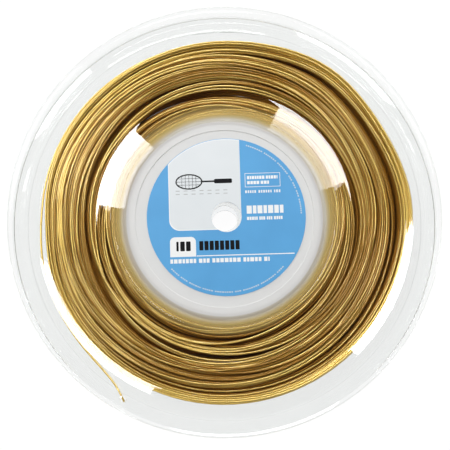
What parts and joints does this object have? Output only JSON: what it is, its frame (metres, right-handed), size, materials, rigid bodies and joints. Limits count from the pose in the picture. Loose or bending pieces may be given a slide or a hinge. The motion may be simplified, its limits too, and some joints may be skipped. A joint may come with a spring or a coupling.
{
  "type": "string reel",
  "caption": "Clear two-part plastic reel holding a wound length of thin gold racket string, with a round label in its hub and the string's end tucked through a hole near the rim.",
  "frame": {"origin": "on the spindle axis, at the surface that the reel lies on", "axes": "+Z along the spindle axis, out of the labelled front; +X to the right and +Y up as the label reads"},
  "size_m": [0.27, 0.27, 0.0245],
  "materials": {
    "clear_plastic": "clear, polished mould",
    "label": "semi-gloss printed film",
    "string": "glossy amber-gold polyester"
  },
  "bodies": {
    "root": {"front_half": "clear_plastic", "back_half": "clear_plastic", "front_label": "label", "string_winding": "string", "string_tail": "string"}
  },
  "joints": []
}
